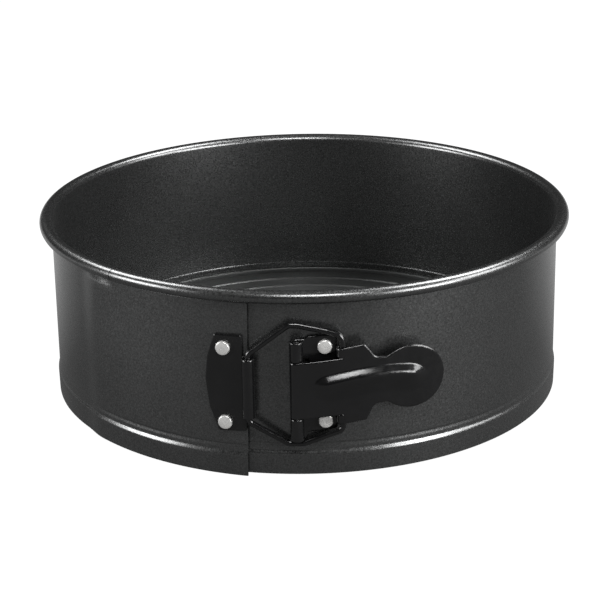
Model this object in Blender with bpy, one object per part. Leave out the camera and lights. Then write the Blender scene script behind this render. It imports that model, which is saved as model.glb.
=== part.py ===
"""Springform pan: a loose base plate inside a sprung steel band that an over-centre clasp pulls shut.

The origin is on the pan's axis at table height, +Z is up and the clasp is at the front, towards -Y.
Angles round the pan are measured from the front (-Y) towards +X, so 90 degrees is +X and 180 is the back.
Places on the wall are given as (s, z, off): s is the arc along the wall's outer face from the front,
z the height above the band's lower edge, and off the distance out from the wall's outer face.
"""

import math

import bmesh
import bpy
from mathutils import Matrix, Vector
from mathutils.geometry import delaunay_2d_cdt

MM = 0.001
GAP = 0.3 * MM

# Pan
PAN_HEIGHT = 71.8 * MM
INSIDE_R = 100.0 * MM
SHEET = 0.6 * MM
RIM_R = 105.3 * MM
WALL_R = INSIDE_R + SHEET
CURL_HEIGHT = 4.9 * MM
CURL_SWEEP = 295.0
SKIRT_TOP = 7.7 * MM
SHOULDER_TOP = 9.5 * MM
CREASE_Z = 11.7 * MM
CREASE_DEPTH = 0.25 * MM
SKIRT_FLARE = 0.6 * MM
SKIRT_TAPER = 0.15 * MM
FREE_END_DROP = 0.95 * MM
BAND_FOOT = FREE_END_DROP

# The strip's two ends overlap, and the band is divided at three flexures
INNER_END = -42.8
OUTER_END = -12.1
OUTER_END_LEAN = 0.9
FLEX_ANGLES = (60.0, 180.0, 300.0)
FLEX_R = RIM_R + 0.1 * MM
KERF = GAP
SWEEP_STEP = 4.5
LAP_START = -55.5
LAP_FULL = -49.8
LAP_LIFT = 1.2 * MM
LAP_LIFT_AT_END = 1.35 * MM
LAP_TOP = PAN_HEIGHT - CURL_HEIGHT - GAP
LAP_EASE = LAP_TOP - 4.1 * MM
LAP_TURN = LAP_TOP + 0.2 * MM
CURL_CUT = INNER_END - math.degrees(GAP / RIM_R)
CURL_TURN = 5.7

# Base plate
BASE_R = 99.9 * MM
BASE_SHEET = 0.8 * MM
BASE_FLOOR = 8.0 * MM
BASE_FLANGE = 10.0 * MM
FLANGE_INNER_R = 98.2 * MM
FLANGE_FOOT_R = 97.0 * MM
BEAD_RADII = (89.4 * MM, 79.6 * MM)
BEAD_HALF_WIDTH = 1.8 * MM
BEAD_HEIGHT = 0.8 * MM

# Clasp: three vertical axes, as (s, off)
HINGE = (-3.6 * MM, 3.2 * MM)
BAIL_ON_LEVER = (12.4 * MM, 3.5 * MM)
CATCH_TUBE = (-20.4 * MM, 3.9 * MM)

PIN_R = 1.2 * MM
KNUCKLE_R = 2.5 * MM
KNUCKLE_BORE = PIN_R + GAP
LOWER_KNUCKLE = (14.8 * MM, 23.45 * MM)
LEVER_KNUCKLE = (23.75 * MM, 45.35 * MM)
UPPER_KNUCKLE = (45.65 * MM, 53.1 * MM)

WIRE_R = 1.15 * MM
TUBE_R = 2.3 * MM
TUBE_SPAN = (23.4 * MM, 46.3 * MM)
CURL_BORE = WIRE_R + GAP
CURL_WALL = 0.6 * MM

CATCH_SHEET = 0.9 * MM
CATCH_OFF = LAP_LIFT_AT_END + GAP
BRACKET_SHEET = 1.0 * MM
BRACKET_OFF = GAP
LEVER_SHEET = 0.9 * MM
LEVER_SPREAD = 0.15 * MM
TAB_RISE = 1.0 * MM
RIB_HEIGHT = 1.9 * MM
RIB_ABOVE = 3.3 * MM
RIB_BELOW = 7.8 * MM

RIVET_HEAD_R = 2.65 * MM
RIVET_HEAD_HEIGHT = 1.6 * MM
RIVET_EDGE = 0.45 * MM
RIVET_CROWN = 0.2 * MM
RIVET_SHANK_R = 1.5 * MM
RIVET_TAIL_R = 2.2 * MM
RIVET_TAIL_HEIGHT = 0.5 * MM
CATCH_RIVETS = ((-29.5 * MM, 49.4 * MM), (-29.3 * MM, 20.6 * MM))
BRACKET_RIVETS = ((6.4 * MM, 50.4 * MM), (6.5 * MM, 21.7 * MM))

# Colours are linear RGB
COATED = ((0.055, 0.057, 0.057, 1.0), 0.42, 0.55)
BASE_COAT = ((0.030, 0.032, 0.031, 1.0), 0.45, 0.50)
SATIN_BLACK = ((0.012, 0.012, 0.012, 1.0), 0.38, 0.30)
BRIGHT_STEEL = ((0.62, 0.61, 0.60, 1.0), 0.25, 1.00)


def clear_scene():
    for obj in list(bpy.data.objects):
        bpy.data.objects.remove(obj, do_unlink=True)


def material(name, finish):
    colour, roughness, metallic = finish
    made = bpy.data.materials.new(name)
    made.use_nodes = True
    shader = made.node_tree.nodes["Principled BSDF"]
    shader.inputs["Base Color"].default_value = colour
    shader.inputs["Roughness"].default_value = roughness
    shader.inputs["Metallic"].default_value = metallic
    return made


def round_pan(angle, radius, z):
    """The point at an angle round the pan, with z above the band's lower edge."""
    turn = math.radians(angle)
    return Vector((radius * math.sin(turn), -radius * math.cos(turn), z + BAND_FOOT))


def on_wall(s, z, off):
    return round_pan(math.degrees(s / WALL_R), WALL_R + off, z)


def smooth(low, high, value):
    t = min(max((value - low) / (high - low), 0.0), 1.0)
    return t * t * (3.0 - 2.0 * t)


def arc(centre, radii, start, end, steps):
    """Points on an ellipse from one angle to another, in degrees."""
    points = []
    for i in range(steps + 1):
        turn = math.radians(start + (end - start) * i / steps)
        points.append((centre[0] + radii[0] * math.cos(turn), centre[1] + radii[1] * math.sin(turn)))
    return points


def thicken(line, thickness):
    """The closed outline of a sheet of this thickness that follows a line in the plane."""
    sides = ([], [])
    for i, point in enumerate(line):
        here = Vector(point)
        before = Vector(line[max(i - 1, 0)])
        after = Vector(line[min(i + 1, len(line) - 1)])
        into = (here - before).normalized() if i else (after - here).normalized()
        out_of = (after - here).normalized() if i < len(line) - 1 else into
        along = (into + out_of).normalized()
        across = Vector((along.y, -along.x)) / max(along.dot(into), 0.5)
        sides[0].append(here + across * thickness / 2)
        sides[1].append(here - across * thickness / 2)
    return sides[0] + sides[1][::-1]


def finish_object(name, mesh_builder, finish, sharp=35.0):
    """Turns a bmesh into a named, smooth-shaded object with a material of its own."""
    bmesh.ops.recalc_face_normals(mesh_builder, faces=mesh_builder.faces)
    if mesh_builder.calc_volume(signed=True) < 0:
        bmesh.ops.reverse_faces(mesh_builder, faces=mesh_builder.faces)
    mesh = bpy.data.meshes.new(name)
    mesh_builder.to_mesh(mesh)
    mesh_builder.free()
    mesh.shade_smooth()
    mesh.set_sharp_from_angle(angle=math.radians(sharp))
    obj = bpy.data.objects.new(name, mesh)
    bpy.context.scene.collection.objects.link(obj)
    obj.data.materials.append(material(name, finish))
    return obj


def pivot(name, place, parent=None):
    """An empty on a joint's axis, which carries the pieces that move there."""
    empty = bpy.data.objects.new(name, None)
    empty.empty_display_size = 0.01
    bpy.context.scene.collection.objects.link(empty)
    empty.location = place - (parent.matrix_world.translation if parent else Vector())
    empty.parent = parent
    bpy.context.view_layer.update()
    return empty


def carry(obj, empty):
    """Hangs a piece on a pivot, with the piece's own origin moved onto the pivot's axis."""
    obj.data.transform(Matrix.Translation(-empty.matrix_world.translation))
    obj.parent = empty
    obj.location = (0.0, 0.0, 0.0)


def combine(obj, other, operation):
    """A Boolean with a helper that isn't itself a piece of the pan."""
    other.hide_render = True
    other.display_type = "WIRE"
    modifier = obj.modifiers.new(f"{operation.lower()} {other.name}", "BOOLEAN")
    modifier.operation = operation
    modifier.object = other


def turned(name, profile, finish, axis_point, axis, steps, sharp=35.0):
    """A solid of revolution: the profile is (radius, height) along the axis, starting and ending on it."""
    builder = bmesh.new()
    verts = [builder.verts.new((radius, 0.0, height)) for radius, height in profile]
    edges = [builder.edges.new(pair) for pair in zip(verts, verts[1:])]
    bmesh.ops.spin(
        builder, geom=verts + edges, cent=(0, 0, 0), axis=(0, 0, 1), angle=2 * math.pi, steps=steps
    )
    bmesh.ops.remove_doubles(builder, verts=builder.verts, dist=1e-6)
    turn = Vector((0, 0, 1)).rotation_difference(axis).to_matrix().to_4x4()
    builder.transform(Matrix.Translation(axis_point) @ turn)
    return finish_object(name, builder, finish, sharp)


def tube(name, s, off, span, outer, bore, finish, steps=20):
    """A vertical tube beside the wall."""
    low, high = span
    ring = ((bore, 0.0), (outer, 0.0), (outer, high - low), (bore, high - low), (bore, 0.0))
    return turned(name, ring, finish, on_wall(s, low, off), Vector((0, 0, 1)), steps)


def rounded(corners, radii, steps=3):
    """An outline or path with its corners rounded; a corner with no radius stays sharp."""
    points = []
    count = len(corners)
    for i, corner in enumerate(corners):
        here = Vector(corner)
        if not radii[i]:
            points.append(tuple(here))
            continue
        before = (Vector(corners[i - 1]) - here).normalized()
        after = (Vector(corners[(i + 1) % count]) - here).normalized()
        half = before.angle(after) / 2
        reach = radii[i] / math.tan(half)
        centre = here + (before + after).normalized() * radii[i] / math.sin(half)
        first = (here + before * reach - centre).normalized()
        last = (here + after * reach - centre).normalized()
        for k in range(steps + 1):
            points.append(tuple(centre + first.slerp(last, k / steps) * radii[i]))
    return points


def inside(point, outline):
    """Whether a point lies inside a closed outline."""
    x, y = point
    within = False
    for (ax, ay), (bx, by) in zip(outline, outline[1:] + outline[:1]):
        if (ay > y) != (by > y) and x < (bx - ax) * (y - ay) / (by - ay) + ax:
            within = not within
    return within


def distance_to(point, outline):
    """The distance from a point to a closed outline."""
    here = Vector(point)
    nearest = 1.0
    for a, b in zip(outline, outline[1:] + outline[:1]):
        start, along = Vector(a), Vector(b) - Vector(a)
        share = min(max((here - start).dot(along) / along.length_squared, 0.0), 1.0)
        nearest = min(nearest, (here - start - along * share).length)
    return nearest


def pressed_sheet(name, outline, holes, spacing, thickness, off_at, finish):
    """A plate that follows the wall, cut to an outline in (s, z) and pressed to off_at(s, z)."""
    points = list(outline)
    edges = [(i, (i + 1) % len(outline)) for i in range(len(outline))]
    for centre, radius in holes:
        first = len(points)
        ring = arc(centre, (radius, radius), 0, 360, 12)[:-1]
        points += ring
        edges += [(first + i, first + (i + 1) % len(ring)) for i in range(len(ring))]
    low = [min(p[i] for p in outline) for i in range(2)]
    high = [max(p[i] for p in outline) for i in range(2)]
    columns = int((high[0] - low[0]) / spacing)
    rows = int((high[1] - low[1]) / spacing)
    for column in range(1, columns + 1):
        for row in range(1, rows + 1):
            spot = (low[0] + column * spacing, low[1] + row * spacing)
            in_hole = any((Vector(spot) - Vector(c)).length < r + spacing * 0.4 for c, r in holes)
            if not in_hole and inside(spot, outline) and distance_to(spot, outline) > spacing * 0.4:
                points.append(spot)
    flat = [Vector(p) / MM for p in points]
    made = delaunay_2d_cdt(flat, edges, [list(range(len(outline)))], 1, 1e-5)
    places, triangles = made[0], made[2]
    builder = bmesh.new()
    faces = ([], [])
    for side, extra in enumerate((0.0, thickness)):
        verts = []
        for place in places:
            s, z = place * MM
            verts.append(builder.verts.new(on_wall(s, z, off_at(s, z) + extra)))
        for triangle in triangles:
            middle = sum((places[i] for i in triangle), Vector((0, 0))) / 3 * MM
            if any((middle - Vector(c)).length < r for c, r in holes):
                continue
            order = triangle if side else triangle[::-1]
            faces[side].append(builder.faces.new([verts[i] for i in order]))
        if side:
            outer = verts
        else:
            inner = verts
    match = dict(zip(inner, outer))
    open_edges = [e for e in builder.edges if e.is_boundary and e.verts[0] in match]
    for edge in open_edges:
        a, b = edge.verts
        builder.faces.new((a, b, match[b], match[a]))
    loose = [v for v in builder.verts if not v.link_faces]
    bmesh.ops.delete(builder, geom=loose, context="VERTS")
    return finish_object(name, builder, finish)


def band_profile():
    """The strip's section: skirt, shoulder, crease, wall and the rim rolled outwards and down."""
    wall = INSIDE_R + SHEET / 2
    flare = wall + SKIRT_FLARE
    crease = wall - CREASE_DEPTH
    shoulder = SHOULDER_TOP - SKIRT_TOP
    line = [
        (flare - SKIRT_TAPER, 0.0),
        (flare, SKIRT_TOP),
        (flare - SKIRT_FLARE * 0.2, SKIRT_TOP + shoulder * 0.3),
        (wall + SKIRT_FLARE * 0.2, SHOULDER_TOP - shoulder * 0.3),
        (wall, SHOULDER_TOP),
        (wall, CREASE_Z - 0.9 * MM),
        (crease, CREASE_Z - 0.2 * MM),
        (crease, CREASE_Z + 0.2 * MM),
        (wall, CREASE_Z + 0.9 * MM),
        (wall, LAP_EASE),
        (wall, LAP_TURN),
    ]
    half_width = (RIM_R - wall - SHEET / 2) / 2
    centre = (RIM_R - SHEET / 2 - half_width, PAN_HEIGHT - CURL_HEIGHT / 2)
    radii = (half_width, CURL_HEIGHT / 2 - SHEET / 2)
    return thicken(line + arc(centre, radii, 180, 180 - CURL_SWEEP, 9), SHEET)


def band_arc(name, start, end, shift=None):
    """One stretch of the band, from one angle to another; shift moves its points as (angle, radius, z)."""
    builder = bmesh.new()
    verts = [builder.verts.new(round_pan(start, radius, z)) for radius, z in band_profile()]
    edges = [builder.edges.new(pair) for pair in zip(verts, verts[1:] + verts[:1])]
    steps = math.ceil((end - start) / SWEEP_STEP)
    bmesh.ops.spin(
        builder,
        geom=verts + edges,
        cent=(0, 0, 0),
        axis=(0, 0, 1),
        angle=math.radians(end - start),
        steps=steps,
    )
    bmesh.ops.holes_fill(builder, edges=[e for e in builder.edges if e.is_boundary], sides=0)
    if shift:
        for vert in builder.verts:
            angle = math.degrees(math.atan2(vert.co.x, -vert.co.y))
            vert.co = round_pan(*shift(angle, math.hypot(vert.co.x, vert.co.y), vert.co.z - BAND_FOOT))
    return finish_object(name, builder, COATED)


def lap_shift(angle, radius, z):
    """The free end rides over the inner end, a little lower, and its cut edge leans.

    Its curl stays in line with the rim as far as the curl goes, so the strip turns out just below it.
    """
    low_down = 1 - smooth(LAP_EASE, LAP_TURN, z)
    share = low_down
    if z < LAP_TURN + SHEET / 10:
        share = max(share, smooth(CURL_CUT - CURL_TURN, CURL_CUT, angle))
    lift = LAP_LIFT * smooth(LAP_START, LAP_FULL, angle) * share
    towards_end = smooth(LAP_FULL, OUTER_END, angle)
    lift += (LAP_LIFT_AT_END - LAP_LIFT) * towards_end
    along = min(max((angle - LAP_FULL) / (OUTER_END - LAP_FULL), 0.0), 1.0)
    lean = math.radians(OUTER_END_LEAN) * (z - PAN_HEIGHT / 2) / WALL_R
    return angle + math.degrees(lean) * along**4, radius + lift, z - FREE_END_DROP * along * low_down


def curl_cutter():
    """The space of the rolled rim over the lap, which the free end doesn't have."""
    builder = bmesh.new()
    low, high = INSIDE_R - 2 * MM, RIM_R + 4 * MM
    corners = ((low, LAP_TOP), (high, LAP_TOP), (high, PAN_HEIGHT + 2 * MM), (low, PAN_HEIGHT + 2 * MM))
    verts = [builder.verts.new(round_pan(CURL_CUT, r, z)) for r, z in corners]
    edges = [builder.edges.new(pair) for pair in zip(verts, verts[1:] + verts[:1])]
    span = OUTER_END + 6.0 - CURL_CUT
    bmesh.ops.spin(
        builder, geom=verts + edges, cent=(0, 0, 0), axis=(0, 0, 1), angle=math.radians(span), steps=12
    )
    bmesh.ops.holes_fill(builder, edges=[e for e in builder.edges if e.is_boundary], sides=0)
    return finish_object("curl_cutter", builder, COATED)


def rivet_hole(name, s, z):
    """A radial cylinder through the wall, in which a rivet's shank sits."""
    outwards = (on_wall(s, z, 1.0) - on_wall(s, z, 0.0)).normalized()
    radius, reach = RIVET_SHANK_R + GAP, 4 * MM
    ends = ((0.0, -reach), (radius, -reach), (radius, reach), (0.0, reach))
    return turned(name, ends, COATED, on_wall(s, z, 0.0), outwards, 14)


def make_band(ring, pivots):
    half_kerf = math.degrees(KERF / 2 / FLEX_R)
    right, back, left = FLEX_ANGLES
    front = band_arc("band_front", INNER_END, right - half_kerf)
    for i, (s, z) in enumerate(BRACKET_RIVETS):
        cutter = rivet_hole(f"bracket_hole_{i}", s, z)
        combine(front, cutter, "DIFFERENCE")
        carry(cutter, ring)
    carry(front, ring)
    carry(band_arc("band_right", right + half_kerf, back - half_kerf), pivots[0])
    carry(band_arc("band_left", back + half_kerf, left - half_kerf), pivots[1])
    end = band_arc("band_free_end", left - 360 + half_kerf, OUTER_END, lap_shift)
    cutters = [curl_cutter()]
    cutters += [rivet_hole(f"catch_hole_{i}", s, z) for i, (s, z) in enumerate(CATCH_RIVETS)]
    for cutter in cutters:
        combine(end, cutter, "DIFFERENCE")
        carry(cutter, pivots[2])
    carry(end, pivots[2])


def make_base():
    """A disc with two round beads and a raised flange that the band's crease keeps down."""
    line = [(0.0, BASE_FLOOR)]
    for radius in sorted(BEAD_RADII):
        for share in (-1.0, -0.5, 0.0, 0.5, 1.0):
            rise = BEAD_HEIGHT * math.cos(share * math.pi / 2) ** 2
            line.append((radius + share * BEAD_HALF_WIDTH, BASE_FLOOR + rise))
    line += [(FLANGE_FOOT_R, BASE_FLOOR), (FLANGE_INNER_R, BASE_FLANGE), (BASE_R, BASE_FLANGE)]
    under = [(radius, z - BASE_SHEET) for radius, z in line]
    profile = [(radius, z + BAND_FOOT) for radius, z in line + under[::-1]]
    return turned("base_plate", profile, BASE_COAT, Vector(), Vector((0, 0, 1)), 64)


def rivet(name, s, z, seat, tail):
    """A thick-headed rivet whose head sits at off = seat; tail is how far in its shank goes."""
    side = RIVET_HEAD_HEIGHT - RIVET_CROWN - RIVET_EDGE
    face = RIVET_HEAD_R - RIVET_EDGE
    profile = [(RIVET_SHANK_R, 0.0), (RIVET_HEAD_R, 0.0)]
    profile += arc((face, side), (RIVET_EDGE, RIVET_EDGE), 0, 75, 3)
    profile += [(face * 0.6, RIVET_HEAD_HEIGHT - RIVET_CROWN / 3), (0.0, RIVET_HEAD_HEIGHT)]
    depth = seat - tail
    if tail < -SHEET:
        neck = seat + SHEET + GAP
        foot = [(0.0, -depth), (RIVET_TAIL_R, -depth), (RIVET_TAIL_R, -neck), (RIVET_SHANK_R, -neck)]
    else:
        foot = [(0.0, -depth), (RIVET_SHANK_R, -depth)]
    outwards = (on_wall(s, z, 1.0) - on_wall(s, z, 0.0)).normalized()
    return turned(name, foot + profile, BRIGHT_STEEL, on_wall(s, z, seat), outwards, 16)


def make_catch(empty):
    """The catch plate on the free end, with its edge rolled into the tube that the bail turns in."""
    s, off = CATCH_TUBE
    low, high = TUBE_SPAN
    outline = [
        (-32.9 * MM, 54.1 * MM),
        (-22.8 * MM, 54.4 * MM),
        (-22.5 * MM, high),
        (s, high),
        (s, low),
        (-21.9 * MM, low),
        (-21.6 * MM, 17.3 * MM),
        (-31.9 * MM, 16.8 * MM),
        (-35.3 * MM, 26.0 * MM),
        (-36.6 * MM, 36.5 * MM),
        (-35.6 * MM, 46.0 * MM),
    ]
    radii = [0.8 * MM, 0.8 * MM, 0.0, 0.0, 0.0, 0.0, 0.8 * MM, 0.8 * MM, 12 * MM, 12 * MM, 12 * MM]
    holes = [(place, RIVET_SHANK_R + GAP) for place in CATCH_RIVETS]
    plate = pressed_sheet(
        "catch_plate",
        rounded(outline, radii),
        holes,
        4.0 * MM,
        CATCH_SHEET,
        lambda s, z: CATCH_OFF,
        SATIN_BLACK,
    )
    roll = tube("catch_tube", s, off, TUBE_SPAN, TUBE_R, CURL_BORE, SATIN_BLACK)
    combine(plate, roll, "UNION")
    pieces = [plate, roll]
    seat = CATCH_OFF + CATCH_SHEET + GAP
    for word, place in zip(("upper", "lower"), CATCH_RIVETS):
        pieces.append(rivet(f"catch_rivet_{word}", *place, seat, LAP_LIFT - SHEET * 0.9))
    leg = ((0.0, 0.0), (WIRE_R, 0.0), (WIRE_R, high - low), (0.0, high - low))
    pieces.append(turned("bail_leg", leg, SATIN_BLACK, on_wall(s, low, off), Vector((0, 0, 1)), 12))
    for piece in pieces:
        carry(piece, empty)


def make_bracket(empty):
    """The hinge bracket on the inner end: a riveted plate with a knuckle above and below the lever's."""
    s, off = HINGE
    clear = s + KNUCKLE_R
    outline = [
        (s, UPPER_KNUCKLE[1]),
        (clear + 1.5 * MM, 54.4 * MM),
        (10.9 * MM, 54.9 * MM),
        (10.9 * MM, 18.1 * MM),
        (clear + 1.0 * MM, 17.2 * MM),
        (clear, LOWER_KNUCKLE[0]),
        (s, LOWER_KNUCKLE[0]),
        (s, LOWER_KNUCKLE[1]),
        (clear, LOWER_KNUCKLE[1]),
        (clear, UPPER_KNUCKLE[0]),
        (s, UPPER_KNUCKLE[0]),
    ]
    radii = [0.0, 0.0, 1.2 * MM, 1.2 * MM, 0.8 * MM, 0.0, 0.0, 0.0, 0.0, 0.0, 0.0]
    holes = [(place, RIVET_SHANK_R + GAP) for place in BRACKET_RIVETS]
    plate = pressed_sheet(
        "hinge_bracket",
        rounded(outline, radii),
        holes,
        4.0 * MM,
        BRACKET_SHEET,
        lambda s, z: BRACKET_OFF,
        SATIN_BLACK,
    )
    pieces = [plate]
    for word, span in (("upper", UPPER_KNUCKLE), ("lower", LOWER_KNUCKLE)):
        knuckle = tube(f"{word}_knuckle", s, off, span, KNUCKLE_R, KNUCKLE_BORE, SATIN_BLACK)
        combine(plate, knuckle, "UNION")
        pieces.append(knuckle)
    length = UPPER_KNUCKLE[1] - LOWER_KNUCKLE[0]
    chamfer = 0.3 * MM
    pin = (
        (0.0, 0.0),
        (PIN_R - chamfer, 0.0),
        (PIN_R, chamfer),
        (PIN_R, length - chamfer),
        (PIN_R - chamfer, length),
        (0.0, length),
    )
    foot = on_wall(s, LOWER_KNUCKLE[0], off)
    pieces.append(turned("hinge_pin", pin, SATIN_BLACK, foot, Vector((0, 0, 1)), 14))
    seat = BRACKET_OFF + BRACKET_SHEET + GAP
    tail = -SHEET - GAP - RIVET_TAIL_HEIGHT
    for word, place in zip(("upper", "lower"), BRACKET_RIVETS):
        pieces.append(rivet(f"bracket_rivet_{word}", *place, seat, tail))
    for piece in pieces:
        carry(piece, empty)


def lever_outline():
    """The lever from its knuckle past the two wings to the round finger tab."""
    s = HINGE[0]
    tab_centre, tab_radius = (36.4 * MM, 37.5 * MM), 11.95 * MM
    lower = rounded(
        [
            (s, LEVER_KNUCKLE[0]),
            (11.9 * MM, 25.3 * MM),
            (12.3 * MM, 21.5 * MM),
            (20.4 * MM, 22.8 * MM),
            (23.0 * MM, 28.6 * MM),
            (27.6 * MM, 28.9 * MM),
        ],
        [0.0, 0.0, 0.8 * MM, 1.2 * MM, 3.0 * MM, 0.0],
    )
    upper = rounded(
        [
            (27.6 * MM, 46.3 * MM),
            (23.6 * MM, 46.6 * MM),
            (19.8 * MM, 51.8 * MM),
            (12.6 * MM, 50.6 * MM),
            (12.6 * MM, 46.9 * MM),
            (s, LEVER_KNUCKLE[1]),
        ],
        [0.0, 2.5 * MM, 1.0 * MM, 0.8 * MM, 0.0, 0.0],
    )
    return lower + arc(tab_centre, (tab_radius, tab_radius), -118, 118, 20) + upper


def rib_height(s, z):
    """The pressed rib: steep above its crest, easing off below, along a shallow bow towards the tab."""
    start, middle, end = (7.4 * MM, 37.7 * MM), (23.5 * MM, 41.6 * MM), (36.0 * MM, 39.4 * MM)
    nearest, above = 1.0, 0.0
    for i in range(17):
        t = i / 16
        x = (1 - t) ** 2 * start[0] + 2 * t * (1 - t) * middle[0] + t * t * end[0]
        y = (1 - t) ** 2 * start[1] + 2 * t * (1 - t) * middle[1] + t * t * end[1]
        distance = math.hypot(s - x, z - y)
        if distance < nearest:
            nearest, above = distance, z - y
    upwards = above / nearest if nearest else 0.0
    width = RIB_BELOW + (RIB_ABOVE - RIB_BELOW) * smooth(-1.0, 1.0, upwards)
    share = min(nearest / width, 1.0)
    return RIB_HEIGHT * math.cos(share * math.pi / 2) ** 2


def lever_off(s, z):
    """The lever's inner face: level from the top of its knuckle, clear of the wire, then the tab stands out."""
    off = HINGE[1] + KNUCKLE_R - LEVER_SHEET
    off += LEVER_SPREAD * smooth(HINGE[0], BAIL_ON_LEVER[0], s)
    off += TAB_RISE * smooth(28 * MM, 50 * MM, s)
    return off + rib_height(s, z)


def make_lever(empty):
    plate = pressed_sheet("lever", lever_outline(), [], 2.4 * MM, LEVER_SHEET, lever_off, SATIN_BLACK)
    s, off = HINGE
    knuckle = tube("lever_knuckle", s, off, LEVER_KNUCKLE, KNUCKLE_R, KNUCKLE_BORE, SATIN_BLACK)
    parts = [knuckle]
    for word, span in (("upper", (47.2 * MM, 50.4 * MM)), ("lower", (21.9 * MM, 25.1 * MM))):
        s, off = BAIL_ON_LEVER
        parts.append(tube(f"{word}_curl", s, off, span, CURL_BORE + CURL_WALL, CURL_BORE, SATIN_BLACK))
    for part in parts:
        combine(plate, part, "UNION")
        carry(part, empty)
    carry(plate, empty)


def bail_route():
    """The wire's middle line from the top of the catch tube round to its foot, as (along, z) corners."""
    length = (on_wall(BAIL_ON_LEVER[0], 0, BAIL_ON_LEVER[1]) - on_wall(CATCH_TUBE[0], 0, CATCH_TUBE[1])).length
    low, high = TUBE_SPAN
    corners = [
        (0.0, high + GAP),
        (0.0, high + 1.7 * MM),
        (14.6 * MM, 59.0 * MM),
        (18.0 * MM, 58.9 * MM),
        (28.5 * MM, 56.6 * MM),
        (length, 54.9 * MM),
        (length, 18.6 * MM),
        (19.8 * MM, 13.2 * MM),
        (14.2 * MM, 13.2 * MM),
        (0.0, low - 1.7 * MM),
        (0.0, low - GAP),
    ]
    radii = [r * MM for r in (0.0, 2.5, 2.5, 2.5, 6.0, 3.5, 2.5, 2.5, 2.5, 2.3, 0.0)]
    return rounded(corners, radii)


def make_bail(empty):
    """One bent wire, flat in the upright plane through the tube's and the lever's axes."""
    start = on_wall(CATCH_TUBE[0], 0.0, CATCH_TUBE[1])
    end = on_wall(BAIL_ON_LEVER[0], 0.0, BAIL_ON_LEVER[1])
    along = (end - start).normalized()
    curve = bpy.data.curves.new("bail", "CURVE")
    curve.dimensions = "3D"
    curve.bevel_depth = WIRE_R
    curve.bevel_resolution = 2
    curve.use_fill_caps = True
    curve.materials.append(material("bail", SATIN_BLACK))
    route = bail_route()
    spline = curve.splines.new("POLY")
    spline.points.add(len(route) - 1)
    origin = empty.matrix_world.translation
    for point, (distance, z) in zip(spline.points, route):
        point.co = (*(start + along * distance + Vector((0, 0, z)) - origin), 1.0)
    spline.use_smooth = True
    obj = bpy.data.objects.new("bail", curve)
    bpy.context.scene.collection.objects.link(obj)
    obj.parent = empty


def main():
    clear_scene()
    make_base()
    ring = pivot("ring", Vector((0, 0, BAND_FOOT)))
    pivots = []
    for name, angle in zip(("right_flexure", "back_flexure", "left_flexure"), FLEX_ANGLES):
        pivots.append(pivot(name, round_pan(angle, FLEX_R, 0.0), pivots[-1] if pivots else ring))
    make_band(ring, pivots)
    make_catch(pivots[2])
    make_bracket(ring)
    lever_pivot = pivot("lever_pivot", on_wall(HINGE[0], 0.0, HINGE[1]), ring)
    make_lever(lever_pivot)
    make_bail(pivot("bail_pivot", on_wall(BAIL_ON_LEVER[0], 0.0, BAIL_ON_LEVER[1]), lever_pivot))


main()
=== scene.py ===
"""The looks of the springform pan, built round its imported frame.

Angles round the pan are in degrees, measured from the front (-Y) towards +X. A place on the wall is
(s, z, off): s is the arc along the wall's outer face from the front, z the height above the band's lower
edge, and off the distance out from that face. All lengths are in metres.
"""

import math

import bmesh
import bpy
import numpy as np
from mathutils import Matrix, Vector
from mathutils.geometry import delaunay_2d_cdt


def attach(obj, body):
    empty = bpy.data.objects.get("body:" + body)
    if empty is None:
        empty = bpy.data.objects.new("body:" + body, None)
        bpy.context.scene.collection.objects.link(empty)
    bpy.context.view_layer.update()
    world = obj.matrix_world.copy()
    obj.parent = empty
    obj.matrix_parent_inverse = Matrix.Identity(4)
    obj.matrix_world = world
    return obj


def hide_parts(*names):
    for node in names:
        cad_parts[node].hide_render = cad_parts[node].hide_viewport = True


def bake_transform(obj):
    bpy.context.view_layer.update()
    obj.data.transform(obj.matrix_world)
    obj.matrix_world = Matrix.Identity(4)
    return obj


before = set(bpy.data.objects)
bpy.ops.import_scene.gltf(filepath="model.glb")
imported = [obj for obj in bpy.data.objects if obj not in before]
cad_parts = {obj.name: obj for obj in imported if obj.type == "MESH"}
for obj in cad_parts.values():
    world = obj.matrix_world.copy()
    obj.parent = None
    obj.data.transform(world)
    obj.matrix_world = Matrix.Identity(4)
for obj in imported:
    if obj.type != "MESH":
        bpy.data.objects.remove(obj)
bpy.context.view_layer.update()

MM = 0.001
GAP = 0.3 * MM

# The band. Its free end hangs DROP below the rest, so the band's edge stands FOOT above the floor.
SHEET = 0.6 * MM
INSIDE_R = 100.0 * MM
WALL_R = INSIDE_R + SHEET
RIM_R = 105.3 * MM
PAN_HEIGHT = 71.8 * MM
CURL_HEIGHT = 4.9 * MM
CURL_SWEEP = 295.0
DROP = 0.95 * MM
FOOT = DROP
INNER_END = -42.8
OUTER_END = -12.1
LEAN = 0.9

# The skirt stands out from the wall below a step, and a shallow crease runs round just above the step.
SKIRT_TOP = 7.7 * MM
SKIRT_OUT = 0.6 * MM
SKIRT_OUT_AT_FOOT = 0.45 * MM
STEP_TOP = 9.5 * MM
CREASE_START = 10.3 * MM
CREASE_HEIGHT = 11.9 * MM
CREASE_END = 12.6 * MM
CREASE_DEPTH = 0.2 * MM

# Where the free end laps over the inner end, and the slit that frees its wall from its curl.
LAP_START = -57.0
LAP_FULL = -49.8
LAP_LIFT = 1.2 * MM
LAP_LIFT_AT_END = 1.35 * MM
LAP_TOP = PAN_HEIGHT - CURL_HEIGHT - GAP + 0.1 * MM
LAP_EASE = (LAP_TOP - 3.7 * MM, LAP_TOP - 0.2 * MM)
DROP_EASE = (52.0 * MM, LAP_TOP)
CURL_CUT = -42.97
CURL_TURN = 5.7

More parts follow.
